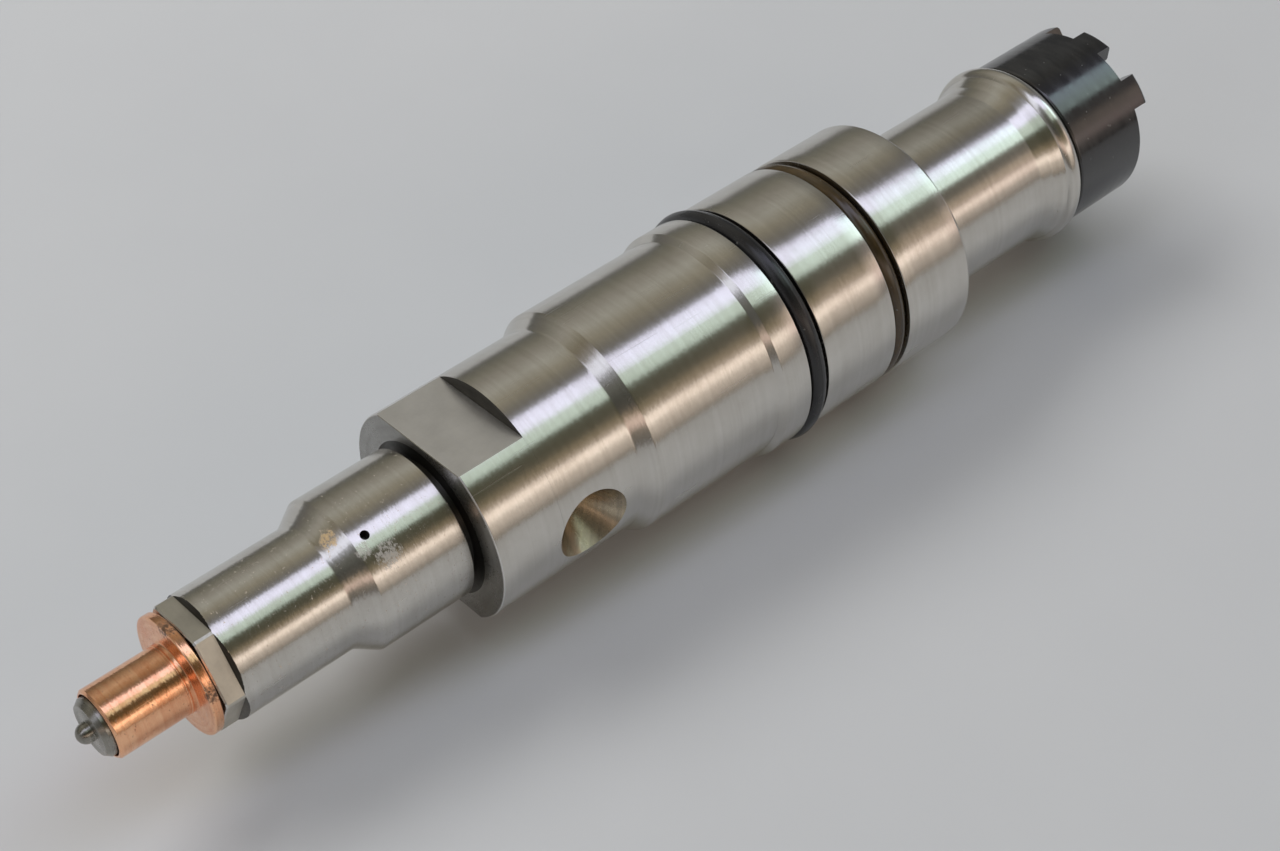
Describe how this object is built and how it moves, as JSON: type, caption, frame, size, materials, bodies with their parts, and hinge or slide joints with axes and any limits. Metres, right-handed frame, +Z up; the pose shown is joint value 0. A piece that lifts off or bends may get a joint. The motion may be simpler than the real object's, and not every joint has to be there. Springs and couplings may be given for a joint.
{
  "type": "fuel injector",
  "caption": "Diesel common-rail fuel injector: stepped steel body with wrench flats and side inlet, copper-sealed nozzle, O-rings, solenoid housing and connector end.",
  "frame": {"origin": "centre of the copper flange's sealing face, on the injector's axis", "axes": "+X along the axis from the nozzle to the connector, +Z up as it lies with its wrench flats nearly level, high-pressure inlet towards -Y"},
  "size_m": [0.1998, 0.0396, 0.0396],
  "materials": {
    "steel": "turned, satin bright",
    "hard_steel": "ground, hardened",
    "copper": "turned copper",
    "winding": "enamelled copper wire",
    "terminal": "bright",
    "black_plastic": "moulded, semi-gloss",
    "bobbin_plastic": "moulded",
    "black_rubber": "oiled",
    "brown_rubber": "oiled"
  },
  "bodies": {
    "injector": {"nozzle_body": "hard_steel", "copper_seal_sleeve": "copper", "nozzle_retaining_nut": "steel", "injector_body": "steel", "o_ring_lower": "black_rubber", "o_ring_upper": "brown_rubber", "solenoid_housing": "steel", "connector_cap": "black_plastic", "needle_spring": "hard_steel", "spring_shim": "hard_steel", "adapter_plate": "hard_steel", "dowel_pin_a": "hard_steel", "dowel_pin_b": "hard_steel", "control_valve_body": "hard_steel", "armature_guide": "hard_steel", "valve_retaining_nut": "hard_steel", "lift_spacer_ring": "hard_steel", "armature_spring": "hard_steel", "spring_plug": "hard_steel", "solenoid_core": "hard_steel", "coil_bobbin": "bobbin_plastic", "coil_winding": "winding", "core_cover": "hard_steel", "housing_seal_ring": "black_rubber", "cap_seal_ring": "black_rubber", "terminal_pin_a": "terminal", "terminal_pin_b": "terminal"},
    "needle": {"nozzle_needle": "hard_steel", "pressure_spindle": "hard_steel", "control_plunger": "hard_steel"},
    "armature": {"armature": "hard_steel", "valve_ball": "hard_steel"}
  },
  "joints": [
    {"name": "needle_lift", "type": "slide", "parent": "injector", "child": "needle", "axis": [1, 0, 0], "range_m": [0, 0.0003], "stiffness_N_per_m": 300, "springref_m": -0.02, "deforming": ["needle_spring"]},
    {"name": "armature_lift", "type": "slide", "parent": "injector", "child": "armature", "axis": [1, 0, 0], "range_m": [0, 0.0001], "stiffness_N_per_m": 80, "springref_m": -0.02, "deforming": ["armature_spring"]}
  ]
}
